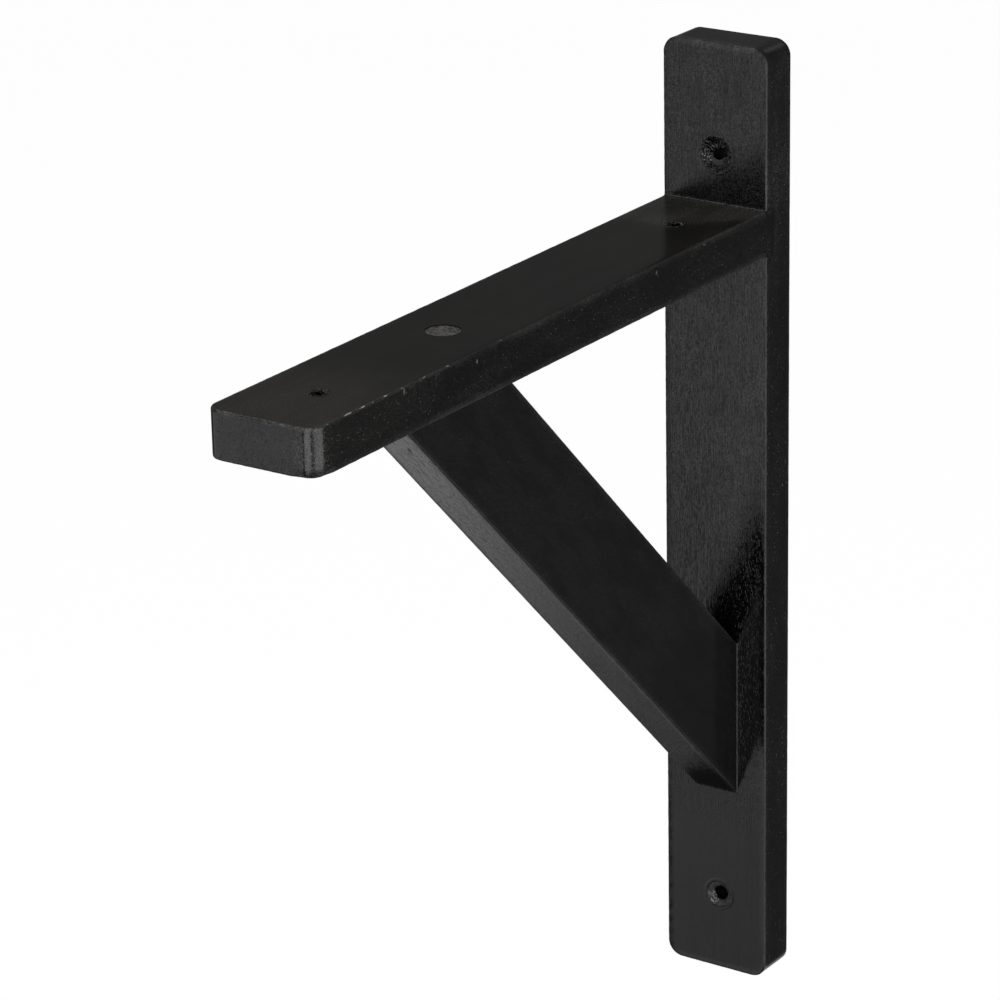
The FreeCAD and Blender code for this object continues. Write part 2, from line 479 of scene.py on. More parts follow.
# %% [markdown]
# ## Black satin lacquer
#
# The real finish is one thin coat of black lacquer over sanded softwood, so the grain stands up through it
# in fine dashes, the edges have rubbed, and dust lies in it. It could be a paint picture on each face, but
# noise that is stretched along the grain works on every side of a piece and at any closeness. Each piece
# tells the recipe, by the notes on its points, how strong its grain, grit and haze are at each place.
# %% Noise along the grain


def in_grain(graph, turn, seed):
    """Places on the piece in millimetres, turned so that the third number runs along the grain."""
    where = add(graph, "ShaderNodeTexCoord").outputs["Object"]
    inputs = {"Vector": where, "Rotation": turn, "Scale": (1 / MM,) * 3, "Location": (seed, seed, seed)}
    return add(graph, "ShaderNodeMapping", inputs).outputs[0]


def turned_aside(graph, places):
    """The same places with the grain's direction and the second one across it exchanged."""
    parts = add(graph, "ShaderNodeSeparateXYZ", {0: places}).outputs
    return add(graph, "ShaderNodeCombineXYZ", {0: parts[0], 1: parts[2], 2: parts[1]}).outputs[0]


def fibres(graph, places, across, along, detail):
    """Noise drawn out along the grain, from 0 to 1."""
    drawn_out = vector(graph, "MULTIPLY", places, (1 / across, 1 / across, 1 / along))
    inputs = {"Vector": drawn_out, "Scale": 1.0, "Detail": detail, "Roughness": 0.55}
    return add(graph, "ShaderNodeTexNoise", inputs).outputs[0]


def dust_dots(graph, places, spacing, radius, share):
    """Round dots of uneven size, 1 in the middle and 0 outside; only a share of them is there."""
    cells = add(graph, "ShaderNodeTexVoronoi", {"Vector": places, "Scale": 1 / spacing})
    lucky = eased(graph, cells.outputs["Color"], 1 - share, 1.0)
    edge = product(graph, lucky, radius / spacing)
    nearness = maths(graph, "SUBTRACT", edge, cells.outputs["Distance"])
    return eased(graph, nearness, 0.0, 0.35 * radius / spacing)


# %% Start and end of a finish


def new_finish(name):
    """An empty finish: the material, its graph and its surface shader."""
    finish = bpy.data.materials.new(name)
    finish.use_nodes = True
    return finish, finish.node_tree, finish.node_tree.nodes["Principled BSDF"]


def lay_on(graph, surface, colour, rough, height):
    """Connect a worked-out colour, roughness and height in millimetres to the surface."""
    bump = add(graph, "ShaderNodeBump", {"Height": height, "Distance": MM, "Strength": 1.0})
    graph.links.new(colour, surface.inputs["Base Color"])
    graph.links.new(rough, surface.inputs["Roughness"])
    graph.links.new(bump.outputs[0], surface.inputs["Normal"])


def mottled(name, seed, size, detail, dark, light, spread, rough, depth, metallic=0.0):
    """A plain finish that wanders between two colours, for small pieces."""
    finish, graph, surface = new_finish(name)
    mottle = fibres(graph, in_grain(graph, (0, 0, 0), seed), size, size, detail)
    colour = blended(graph, eased(graph, mottle, *spread), dark, light)
    lay_on(graph, surface, colour, eased(graph, mottle, 0.3, 0.7, *rough), product(graph, mottle, depth))
    surface.inputs["Metallic"].default_value = metallic
    print(name, "is ready")
    return finish


# %% [markdown]
# ## Marks in the coat
#
# Each kind of mark is one noise, drawn out to its own width and length: dashes and hairs are the grain,
# flecks and nibs sit on it, streaks and ripple are how the coat flowed, clouds are where it lies thicker,
# and grains are as fine as dust. Colour, gloss and relief read the same noises, so that a dash that stands
# up is also dull and worn. A noise of its own for each would look like films laid over each other.
# %% Noises that the recipe shares
# Each mark: its width and its length in millimetres, and how much finer detail it has
coat_marks = {
    "dashes": (0.40, 1.7, 1.0),
    "hairs": (0.34, 14.0, 1.0),
    "flecks": (0.42, 0.46, 0.0),
    "nibs": (0.46, 1.5, 1.0),
    "streaks": (2.6, 70.0, 3.0),
    "ripple": (1.3, 2.0, 2.0),
    "clouds": (11.0, 30.0, 5.0),
    "grains": (0.48, 0.52, 1.0),
}


def marks_and_notes(graph, turn, seed):
    """The noises in one coat and the notes on its points, each by its word."""
    places = in_grain(graph, turn, seed)
    mark = SimpleNamespace(**{word: fibres(graph, places, *size) for word, size in coat_marks.items()})
    mark.wipes = fibres(graph, turned_aside(graph, places), 1.1, 9.0, 3.0)
    mark.dots = dust_dots(graph, places, spacing=0.80, radius=0.27, share=0.34)
    mark.ridges = eased(graph, mark.dashes, 0.48, 0.64)
    mark.thin_ridges = eased(graph, mark.hairs, 0.48, 0.62)
    read = {word: add(graph, "ShaderNodeAttribute", attribute_name=word) for word in note_words}
    note = SimpleNamespace(**{word: made.outputs["Fac"] for word, made in read.items()})
    torn = total(graph, note.bare, product(graph, total(graph, mark.grains, -0.5), 0.9))
    mark.wood = eased(graph, torn, 0.48, 0.62)
    return mark, note


# %% [markdown]
# ## The coat's colour
#
# The colour is built as a painter would build it: ink first, then one layer after the other, each by its own
# share. All the greys stay dark, because most of what is seen on black lacquer is mirrored and not pigment.
# %% Colours from the ink up
ink = (0.0016, 0.0016, 0.0017, 1.0)
ink_worn = (0.014, 0.0138, 0.0135, 1.0)
# Bare wood, also laid on the walls of the wall holes as a painted highlight
bare_wood_and_highlight = (0.64, 0.60, 0.52, 1.0)
# Black for deep inside the drilled holes: painted shade
painted_bore_shade = (0.0022, 0.0020, 0.0018, 1.0)
back_wood = (0.022, 0.016, 0.012, 1.0)
end_grey = (0.026, 0.026, 0.026, 1.0)
speck_grey = (0.19, 0.19, 0.183, 1.0)
# Rubbed grey for worn edges, also laid as a painted highlight and a painted sheen
rub_and_highlight_grey = (0.17, 0.168, 0.160, 1.0)


def coat_colour(graph, mark, note, haze_colour):
    """Ink, lighter on raised grain, then haze, specks, end grain, rubbed grey, back, wood and black in bores.
    The rubbed grey and the wood are in places a painted highlight, and the black in bores is painted shade.
    """
    haze_dust_and_sheen = product(
        graph,
        note.haze,
        eased(graph, mark.clouds, 0.36, 0.64, 0.75, 1.0),
        eased(graph, mark.grains, 0.35, 0.65, 0.25, 1.0),
        eased(graph, mark.streaks, 0.35, 0.65, 0.9, 1.1),
    )
    flecks = product(graph, note.fleck, eased(graph, mark.flecks, 0.44, 0.66), 0.32)
    specks = total(graph, product(graph, note.grit, mark.dots), flecks)
    wiped = total(graph, product(graph, mark.wipes, 0.35), product(graph, mark.grains, 0.65))
    rub_and_highlight_share = product(
        graph,
        note.rub,
        eased(graph, mark.grains, 0.46, 0.60),
        eased(graph, mark.clouds, 0.40, 0.60, 0.3, 1.0),
    )
    layers = [
        (product(graph, eased(graph, mark.dashes, 0.50, 0.75), note.grain, 0.45), ink_worn),
        (haze_dust_and_sheen, haze_colour),
        (product(graph, specks, eased(graph, mark.clouds, 0.38, 0.62, 0.5, 1.15)), speck_grey),
        (product(graph, note.end, eased(graph, wiped, 0.43, 0.60)), end_grey),
        (rub_and_highlight_share, rub_and_highlight_grey),
        (product(graph, note.thin, eased(graph, mark.streaks, 0.3, 0.7)), back_wood),
        (mark.wood, bare_wood_and_highlight),
        (note.bore, painted_bore_shade),
    ]
    colour = ink
    for share, layer in layers:
        colour = blended(graph, share, colour, layer)
    return colour


# %% [markdown]
# ## The coat's gloss and relief
#
# A satin coat is smooth enough to mirror the cards and rough enough to blur them. Where grain, dust or end
# grain breaks it, it is rougher and the mirrored grey fades. The relief is a height that only shades the
# surface, because real points as fine as the grain would take millions of triangles.
# %% Roughness and height


def coat_roughness(graph, mark, note):
    """Satin, duller in the clouds, on dashes, rims and end grain and where wood is bare."""
    return total(
        graph,
        product(graph, mark.clouds, 0.10),
        product(graph, mark.grains, total(graph, product(graph, note.grit, 0.08), 0.05)),
        product(graph, mark.ridges, note.grain, 0.34),
        product(graph, mark.thin_ridges, note.grain, 0.24),
        product(graph, note.rim, eased(graph, mark.grains, 0.30, 0.70, 0.34, 0.08)),
        product(graph, note.end, eased(graph, total(graph, mark.wipes, mark.grains), 0.8, 1.2, 0.06, 0.26)),
        product(graph, note.thin, 0.20),
        product(graph, maths(graph, "MAXIMUM", mark.wood, note.bore), 0.4),
        0.085,
    )


def coat_height(graph, mark, note):
    """Millimetres of raised grain, the flow of the coat, flecks, nibs, grit and coarse end grain."""
    return total(
        graph,
        product(graph, mark.ridges, note.grain, 0.030),
        product(graph, mark.thin_ridges, note.grain, 0.015),
        product(graph, mark.streaks, 0.035),
        product(graph, mark.ripple, 0.014),
        product(graph, mark.grains, 0.005),
        product(graph, mark.flecks, note.fleck, 0.024),
        product(graph, eased(graph, mark.nibs, 0.52, 0.74), note.glint, 0.045),
        product(graph, mark.dots, note.grit, 0.030),
        product(graph, mark.grains, note.grit, 0.030),
        product(graph, mark.grains, total(graph, note.end, product(graph, note.rim, 0.8)), 0.15),
        product(graph, mark.wipes, note.end, 0.05),
    )


# %% Mix the three lacquers
quarter = math.pi / 2


def lacquer(name, turn, seed, haze_colour):
    """Black satin lacquer on one piece, by the way its grain runs."""
    finish, graph, surface = new_finish(name)
    coat = (graph, *marks_and_notes(graph, turn, seed))
    lay_on(graph, surface, coat_colour(*coat, haze_colour), coat_roughness(*coat), coat_height(*coat))
    surface.inputs["IOR"].default_value = 1.48
    return finish


board_lacquer = lacquer("lacquer_on_board", (0, 0, 0), 3.0, (0.075, 0.075, 0.0735, 1.0))
# The arm's haze is warm, so on its top it lays a painted warm reflection as well as dust
arm_lacquer = lacquer("lacquer_on_arm", (quarter, 0, 0), 11.0, (0.075, 0.070, 0.062, 1.0))
brace_lacquer = lacquer("lacquer_on_brace", (-quarter / 2, 0, 0), 29.0, (0.075, 0.075, 0.072, 1.0))
print("lacquers ready, each reads", ", ".join(note_words))

# %% [markdown]
# ## The wall holes
#
# The board's two wall holes were countersunk by hand before painting: the cutter chattered on the fibres,
# tore them at the mouth and left a ledge under the upper bore. Sinking real points shows that from every
# side, where a painted shadow would only work from one.
# %% Where the drawn holes are
board_low, board_high = box_mm("back_board")
arm_low, arm_high = box_mm("shelf_arm")
board_front = board_low[1]
mounts = {mount["name"]: mount for mount in frame["record"]["mounts"]}


def wall_hole(name, mouth):
    """A wall hole: its place across and up the board, and the radius of its mouth and its bore."""
    x, _, z = (value / MM for value in mounts[name]["pos_m"])
    return SimpleNamespace(x=x, z=z, mouth=mouth, bore=mounts[name]["dims"]["r_mm"])


upper_hole = wall_hole("upper_wall_screw", 7.0)
lower_hole = wall_hole("lower_wall_screw", 5.6)
wall_holes = (upper_hole, lower_hole)
print("wall holes:", *wall_holes)

# %% Work on a countersunk wall hole
countersink_slope = math.tan(math.radians(55))


def around(points, hole):
    """Where points lie round a wall hole seen from the front: across, up, radius and angle."""
    across, up = points[:, 0] - hole.x, points[:, 2] - hole.z
    return across, up, np.hypot(across, up), np.degrees(np.arctan2(up, across)) % 360


def near_angle(angle, middle, half, soft):
    """1 where an angle lies within a range, and 0 beyond a soft end on each side."""
    return fade(np.abs((angle - middle + 180) % 360 - 180), half, half + soft)


def sunk_by_hand(places, outward, hole, ledge, tears):
    """Tear the wall of one countersink as tears says for each angle, and leave a ledge below its bore."""
    across, up, radius, angle = around(places, hole)
    mouth, bore = hole.mouth, hole.bore
    depth = places[:, 1] - board_front
    inside = (depth < 4.5) & (radius < mouth + 1.0) & (outward[:, 1] < 0.5)
    ledge_depth = (mouth - bore - ledge) / countersink_slope
    on_ledge = near_angle(angle, 262, 40, 22) * fade(radius, bore + ledge, bore + ledge + 0.4)
    on_ledge *= inside * (depth < 3.2) * (ledge > 0)
    torn = tears(angle) * (1 - on_ledge)
    # The cutter's chatter: bumps of three sizes on the sloping wall
    on_slope = ease(radius, bore - 0.1, bore + 0.4) * fade(radius, mouth - 0.3, mouth + 0.5)
    chatter = 0.20 * uneven(places, 1.5, hole.x) + 0.30 * uneven(places, 0.75, hole.z)
    chatter += 0.24 * uneven(places, 0.48, 5)
    # A ragged mouth, a lip over the bore and fibres that hang into it from above
    at_mouth = ease(radius, mouth - 1.2, mouth - 0.2) * fade(radius, mouth + 0.4, mouth + 1.6)
    ragged = 0.30 * uneven(places, 1.3, 5) + 0.35 * uneven(places, 3.0, 6) - 0.1
    pushed = torn * at_mouth * (depth < 2) * ragged
    lip = near_angle(angle, 265, 60, 25) * fade(radius, bore + 0.1, bore + 0.9) * (depth < 4.4)
    pushed -= inside * lip * 0.9 * (ledge > 0)
    hanging = near_angle(angle, 120, 55, 35) * fade(radius, bore + 0.2, bore + 0.9) * (depth < 3.6)
    pushed -= inside * torn * hanging * (1.2 + 1.5 * np.maximum(uneven(places, 0.9, 7), -0.4))
    places += outward * (chatter * torn * on_slope * inside)[:, None]
    places[:, 1] += on_ledge * (board_front + ledge_depth - places[:, 1])
    places[:, 0] += pushed * across / np.maximum(radius, 0.1)
    places[:, 2] += pushed * up / np.maximum(radius, 0.1)
    return inside


# %% [markdown]
# ## The back board
#
# The board is planed timber with round corners. Planing leaves its flats a little hollow and its front
# edges crisp. A knife scored it just above the arm, lacquer dripped there, and its right edge was knocked at
# the joint. A brush in sculpt mode could carve this by hand, but sums on the points can be tuned and run
# again.
# %% Net of the back board
board_corner = 6.3
groove_level = 1.15
skin = netted("back_board")


def board_edges(points):
    """How long an edge may be at each place on the board."""
    x, y, z = points.T
    on_front = y < board_front + 2
    on_edge = edge_distance(points, board_low, board_high, through=1, corner=board_corner) < 1.2
    # The right side beside the arm, where both corners of the housing were knocked
    at_arm = (x > 20) & (np.abs(z + 9) < 13) & (y < board_front + 9)
    wanted = [only_at(at_arm, 0.7), only_at(on_front & on_edge, 1.7)]
    wanted.append(only_at(on_front & (np.abs(z - groove_level) < 1.0), 0.5))
    for hole in wall_holes:
        from_hole = away(points, (hole.x, board_front + 1.5, hole.z))
        wanted.append(finer_near(from_hole, 0.30, hole.mouth + 0.5, hole.mouth + 9))
    return np.min(wanted, axis=0)


refine(skin, board_edges)
board = closed(skin, "back_board")

# %% Wear the back board
# Drips of lacquer above the arm: across, up, how large
drips = [(0.1, 10.1, 0.7), (3.2, 8.6, 0.55), (-1.6, 7.9, 0.4)]
knocked_corners = [(22.5, -16, 0.6), (22.5, -15.5, -17.4)]
knock_depth = 0.16

places, outward = places_of(board)
drawn = places.copy()
x, y, z = drawn.T
edge = edge_distance(drawn, board_low, board_high, through=1, corner=board_corner)
in_housing = (y > board_front + 0.4) & (y < arm_high[1] + 0.3) & (z < 0.3) & (z > arm_low[2] - 0.3)
in_upper = sunk_by_hand(
    places,
    outward,
    upper_hole,
    ledge=1.1,
    tears=lambda angle: 1.05 + 0.45 * near_angle(angle, 270, 60, 25),
)
in_lower = sunk_by_hand(
    places,
    outward,
    lower_hole,
    ledge=0.0,
    tears=lambda angle: 0.05 + 0.75 * near_angle(angle, 217, 26, 14),
)
hollow = 0.045 * (uneven(drawn, (26, 26, 80), 1) - 1)
crisp = 0.15 * fade(edge, 0.45, 0.9) * (0.7 + 0.6 * uneven(drawn, (1.5, 1.5, 2.6), 2))
worn = np.where(y < board_front + 2, crisp, -0.5 * crisp)
on_face = y < board_front + 0.05
scored = fade(np.abs(z - groove_level), 0.1, 0.6)
worn -= 0.14 * scored * on_face * (0.4 + uneven(drawn, (0.8, 1, 9), 3))
for drip_x, drip_z, size in drips:
    from_drip = np.hypot(x - drip_x, z - drip_z) / size
    worn += 0.12 * on_face * fade(from_drip, 0.4, 1.2)
places += outward * ((hollow + worn) * ~(in_upper | in_lower | in_housing))[:, None]
at_corner = np.min([away(drawn, corner) for corner in knocked_corners], axis=0)
knocked = knock_depth * fade(at_corner, 1.0, 2.6) * (1 + uneven(drawn, 1.1, 8))
places -= outward * knocked[:, None]
put_back(board, np.clip(places, board_low, board_high))
print("the back board is worn, and deepest by", round(float(away(places - drawn, (0, 0, 0)).max()), 2), "mm")

# %% [markdown]
# ## Notes on the back board
#
# On the front the grain stands up strongly, apart from the board's foot. Beside the brace and just above the
# arm the coat lies smooth, so it mirrors the dark wood next to it, and only nibs catch the light there; grey
# flecks are left out there as well, a painted shade that deepens those dark mirrored zones. The lower left
# walls of the wall holes carry a painted highlight, laid as rubbed grey with a little bare wood colour in it.
# Along the board's right edge the rubbed grey is stronger above the arm, partly wear and partly a painted
# highlight, and deep in the bores the colour turns black as painted shade.
# %% Where on the back board each point is


def wall_part(hole, middle, half, margin):
    """The part of a countersink's wall at some angles, up to a margin inside its mouth."""
    _, _, radius, angle = around(drawn, hole)
    rim = hole.mouth - margin
    ring = ease(radius, hole.bore + 0.3, hole.bore + 0.8) * fade(radius, rim - 0.3, rim)
    return near_angle(angle, middle, half, 10) * ring * (drawn[:, 1] < board_front + 4)


whole_upper, whole_lower = wall_part(upper_hole, 0, 180, 0.1), wall_part(lower_hole, 0, 180, 0.15)
# Lower left patches of the wall holes' walls, which get grey and wood colour as a painted highlight
painted_highlight_upper, painted_highlight_lower = wall_part(upper_hole, 207, 17, 0.0), wall_part(lower_hole, 213, 22, 0.0)
in_bore = np.any([around(drawn, hole)[2] < hole.bore + 0.5 for hole in wall_holes], axis=0)
flat = np.all([around(drawn, hole)[2] > hole.mouth - 0.1 for hole in wall_holes], axis=0)
front, side = ease(-outward[:, 1], 0.6, 0.9), ease(np.abs(outward[:, 0]), 0.6, 0.9)
right_part = ease(x, -6, 12)
foot_low, foot_high = -262, -232
above_foot = ease(z, foot_low, foot_high)
above_arm = ease(z, -30, 10)
near_arm = fade(z, 8, 26) * ease(z, -1, 0) * (0.4 + 0.6 * right_part)
# Below this slanting line the board mirrors the brace
over_brace = z + 118 + 2.1 * (board_high[0] - x)
at_brace = fade(over_brace, -14, 18) * ease(z, -250, -232) * ease(x, -5, 2)
at_head = z > board_high[2] - 1
print(f"{flat.mean():.0%} of the board's points lie outside its holes")

# %% Finish the back board
strong = 0.14 + 0.80 * above_foot * (0.85 + 0.25 * right_part)
flecked = 0.08 + 0.42 * ease(z, foot_low, -60)
# Bare wood on worn edges and knocked corners, and as a painted highlight on the wall holes' patches
bare_and_highlight_parts = [
    0.08 * fade(edge, 0.2, 0.9),
    0.38 * fade(at_corner, 0.3, 1.0),
    0.42 * painted_highlight_upper,
    0.40 * painted_highlight_lower,
]
notes(
    board,
    grain=flat * (front * np.maximum(strong - 1.04 * at_brace - near_arm, 0) + 0.12 * side),
    # Grey flecks are left out where the board mirrors the brace and the arm: painted shade
    fleck=flat * front * np.maximum(flecked * (1 - 0.95 * at_brace) - 0.12 * near_arm, 0)
    + flat * (side * (0.20 + 0.26 * above_arm) + 0.4 * at_head),
    glint=flat * front * (0.15 + 0.85 * at_brace + 0.70 * near_arm)
    + 1.1 * wall_part(upper_hole, 320, 70, 0.2),
    grit=flat * (0.50 * front * near_arm + 0.8 * side + 0.6 * at_head) + 0.35 * whole_upper,
    haze=flat * (side * (0.01 + 0.05 * above_arm) + 0.60 * at_head)
    + 1.2 * whole_lower * (1 - painted_highlight_lower),
    rim=0.75 * flat * fade(edge, 0.3, 0.9),
    # Rubbed grey is edge wear, stronger above the arm as a painted highlight, and a painted highlight in the
    # holes
    rub=flat * fade(edge, 0.3, 0.8) * (0.02 + 0.40 * above_arm)
    + 0.9 * np.maximum(painted_highlight_upper, painted_highlight_lower),
    # Black deep in the wall holes' bores: painted shade
    bore=ease(y, board_front + 3.2, board_front + 4.6) * in_bore,
    bare=np.max(bare_and_highlight_parts, axis=0),
    thin=ease(outward[:, 1], 0.7, 0.95) * (y > -0.5),
)
show(board, "back_board_lacquered", board_lacquer, "back_board")

# %% [markdown]
# ## The arm
#
# The arm carries the shelf. Its two shelf holes were drilled through from below, so the drill tore the
# fibres as it came out on top. Its long right edge has been knocked, and bare wood shows in the chips. The
# round corners of its free end were sanded by hand, and fall away a little towards their lower edge. Chips
# could be cut with small tool bodies, but a bite out of the points gives each one a crumbled edge.
# %% Where the arm is worn
shelf_screws = mounts["shelf_screws"]
shelf_x, shelf_y, _ = (value / MM for value in shelf_screws["pos_m"])
shelf_spacing = shelf_screws["dims"]["spacing_y_mm"]
shelf_bore = shelf_screws["dims"]["hole_r_mm"]
torn_holes = [(shelf_x, shelf_y - shelf_spacing / 2), (shelf_x, shelf_y + shelf_spacing / 2)]
plug_low, plug_high = box_mm("screw_plug")
plug_middle = (plug_low + plug_high) / 2
plug_radius = (plug_high[0] - plug_low[0]) / 2
# Chips along the right-hand top edge: where, half as long, how deep, how bare
chips = [
    (-295.3, 2.0, 0.20, 0.80),
    (-283.2, 4.2, 0.30, 1.30),
    (-275.6, 3.0, 0.22, 1.00),
    (-269.5, 1.6, 0.16, 0.80),
    (-261.6, 4.6, 0.20, 1.05),
    (-253.6, 3.0, 0.22, 1.20),
    (-240.5, 5.0, 0.14, 0.80),
    (-226.0, 2.6, 0.20, 0.82),
    (-193.6, 2.6, 0.18, 0.74),
]
# Nicks in the right-hand side: along the arm, up, half as long, half as high
nicks = [(-252.4, -1.6, 0.5, 1.6), (-209.5, -3.6, 0.5, 1.0), (-95.0, -3.0, 0.4, 1.2), (-62.0, -1.4, 0.5, 0.9)]
print(len(torn_holes), "torn holes,", len(chips), "chips and", len(nicks), "nicks")

# %% Net of the arm
arm_corner = 6.0
skin = netted("shelf_arm")


def arm_edges(points):
    """How long an edge may be at each place on the arm."""
    right = arm_high[0]
    on_edge = edge_distance(points, arm_low, arm_high, through=2, corner=arm_corner) < 1.2
    from_plug = np.abs(away(points, (*plug_middle[:2], 0)) - plug_radius)
    wanted = [
        only_at(on_edge & (points[:, 1] < board_front), 1.7),
        only_at(points[:, 1] < arm_low[1] + 7, 1.2),
        finer_near(from_plug, 0.7, 0.5, 5),
    ]
    wanted += [finer_near(away(points, (x, y, 0)), 0.28, 4.4, 11) for x, y in torn_holes]
    wanted += [finer_near(away(points, (right, y, 0)), 0.42, half, half + 4) for y, half, _, _ in chips]
    wanted += [finer_near(away(points, (right, y, z)), 0.5, 1.6, 5) for y, z, _, _ in nicks]
    return np.min(wanted, axis=0)


refine(skin, arm_edges)
arm = closed(skin, "shelf_arm")

# %% Tear the arm's holes
places, outward = places_of(arm)
drawn = places.copy()
x, y, z = drawn.T
edge = edge_distance(drawn, arm_low, arm_high, through=2, corner=arm_corner)
# No wear on the edges that lie inside the housing
edge = np.where(y > board_front - 1, np.inf, edge)
in_tear = np.zeros(len(places), bool)
on_top = z > -0.01
flattened = drawn * (1, 1, 0)
for number, (hole_x, hole_y) in enumerate(torn_holes):
    radius = np.hypot(x - hole_x, y - hole_y)
    ragged = radius + 0.75 * uneven(flattened, 1.5, 31 + number)
    bowl = -0.45 * fade(ragged, shelf_bore, shelf_bore + 0.9)
    bowl += 0.40 * uneven(flattened, (0.7, 1.1, 1), 34 + number) * fade(ragged, 3.0, 4.0)
    lifted = 0.30 * np.maximum(0, uneven(flattened, (0.8, 1.4, 1), 37 + number))
    lifted *= ease(ragged, 2.5, 3.1) * fade(ragged, 3.5, 4.6)
    places[:, 2] += on_top * (bowl + lifted)
    near_mouth = (radius < shelf_bore + 0.2) & (z > -5)
    places[:, :2] += (near_mouth * 0.4 * uneven(drawn, 0.8, 41))[:, None] * outward[:, :2]
    in_tear |= on_top & (ragged < 4.4)
print(int(in_tear.sum()), "points are torn")

# %% Chip the arm's long edge
bare = 0.14 * fade(edge, 0.2, 0.9)
crumbled = np.clip(0.85 + 1.1 * uneven(drawn, (0.8, 1.6, 0.8), 47), 0, 1.4)
from_edge = ((x - arm_high[0]) / 0.62) ** 2 + ((z - arm_high[2]) / 0.55) ** 2
for chip_y, half, depth, bareness in chips:
    bite = fade(np.sqrt(((y - chip_y) / half) ** 2 + from_edge), 0.4, 1.1) * crumbled
    places += bite[:, None] * depth * np.array((-0.6, 0, -0.8))
    bare = np.maximum(bare, bite * bareness)
for nick_y, nick_z, half, tall in nicks:
    distance = np.hypot((y - nick_y) / half, (z - nick_z) / tall)
    bite = fade(distance, 0.4, 1.2) * (x > arm_high[0] - 0.9)
    places[:, 0] -= bite * 0.25
    bare = np.maximum(bare, bite * 0.42)
print(int((bare > 0.5).sum()), "points show bare wood")

# %% Plane and sand the arm
hollow = 0.045 * (uneven(drawn, (26, 80, 26), 4) - 1) * (y < board_front)
softened = -0.11 * fade(edge, 0.2, 1.1) * (1 + uneven(drawn, (1.5, 2.6, 1.5), 5))
places += outward * ((hollow + softened) * ~in_tear)[:, None]
fall_depth = 1.15
corner_middle = np.array((arm_high[0] - arm_corner, arm_low[1] + arm_corner))
from_corner = drawn[:, :2] - corner_middle
reach = np.hypot(from_corner[:, 0], from_corner[:, 1])
on_corner = fade(-from_corner[:, 0], -1, 5) * fade(from_corner[:, 1], -1, 5) * ease(reach, 4.0, 5.8)
falling = ease(-z, 12.0, 18.5) ** 2 * (1 + 0.4 * uneven(drawn, (2.2, 2.2, 4.0), 12))
fall = fall_depth * on_corner * falling
places[:, :2] -= from_corner / reach[:, None] * fall[:, None]
on_end = (outward[:, 1] < -0.7) & (y < arm_low[1] + 1)
places[:, 1] += on_end * 0.03 * (1 + uneven(drawn, (0.9, 1, 2.4), 6))
fibres_stand = np.array((0, 0, 0.5))
put_back(arm, np.clip(places, arm_low, arm_high + fibres_stand))
print("the arm's corner falls away by", round(float(fall.max()), 2), "mm")

# %% [markdown]
# ## Notes on the arm
#
# The arm's top is hazy with dust, hazier and warmer towards its free end, which is partly a painted warm
# reflection. Near the board its top is lighter, greyer and flecked: a painted sheen. Its end was wiped
# across, and drank the lacquer as end grain does. Deep in the shelf holes the colour turns black: painted
# shade.
# %% Finish the arm
from_holes = np.min([np.hypot(x - hole_x, y - hole_y) for hole_x, hole_y in torn_holes], axis=0)
top, side = ease(outward[:, 2], 0.6, 0.9), ease(np.abs(outward[:, 0]), 0.6, 0.9)
sound = ~in_tear
end_top = ease(-outward[:, 1], 0.3, 0.7) * (z > -3)
near_board = ease(y - 1.14 * np.maximum(x - shelf_x, 0), -58, -46)
# Haze on the top: dust, hazier and warmer towards the free end as a painted warm reflection, and a painted
# sheen near the board
top_dust_and_painted_light = 1.10 * fade(y, -292, -225) + 0.46 + 0.09 * ease(y, -120, -85) + 0.50 * near_board
end_grain = ease(-outward[:, 1], 0.985, 0.999) * (y < arm_low[1] + 2)
# Near the board the top is lighter, greyer and flecked: a painted sheen
notes(
    arm,
    grain=sound * (top * (0.06 + 0.20 * near_board) + 0.14 * side + 0.3 * (outward[:, 2] < -0.5)),
    fleck=sound * (top * (0.05 + 0.90 * near_board) + 0.20 * side + 0.6 * on_corner) + 0.60 * end_grain,
    glint=sound * (0.5 * top * near_board + 0.6 * on_corner),
    grit=sound * (top * (0.10 + 0.7 * near_board) + 0.7 * side + 0.5 * on_corner),
    haze=sound * (side * (0.01 + 0.09 * fade(y, -262, -225)) + top * top_dust_and_painted_light),
    rim=sound * fade(edge, 0.4, 1.3),
    rub=in_tear * 0.9 + sound * (fade(edge, 0.4, 1.2) * (0.30 + 1.2 * end_top) + 0.40 * top * near_board),
    end=end_grain,
    bare=bare,
    # Black deep in the shelf holes: painted shade
    bore=ease(-z, 1.0, 2.2) * (from_holes < shelf_bore + 0.3),
)
show(arm, "shelf_arm_lacquered", arm_lacquer, "shelf_arm")

# %% [markdown]
# ## The brace
#
# The brace stands on edge under the arm, cut at 45 degrees at both ends, with one small dent by a knot. Its
# net could follow the room as the others do, but it is laid along the brace's own length, so that the small
# squares follow the wood.
# %% Net of the brace
brace_low, brace_high = box_mm("brace")
slant = math.sqrt(0.5)
down_brace, out_of_brace = Vector((0, slant, -slant)), Vector((0, -slant, -slant))
brace_face = -(brace_low[1] + brace_high[2]) * slant
brace_depth = 45.0
brace_knot = (3.2, -222.6, -35.4)
skin = open_copy("brace")
net(skin, down_brace, (brace_low[1] - brace_high[2]) * slant, (brace_high[1] - brace_low[2]) * slant)
net(skin, out_of_brace, brace_face - brace_depth, brace_face)
net(skin, to_right, brace_low[0], brace_high[0])


def on_brace(points):
    """Each place as across the brace, into it from its lower face, and along it."""
    into = brace_face - points @ np.array(out_of_brace)
    return np.stack([points[:, 0], into, points @ np.array(down_brace)], axis=1)


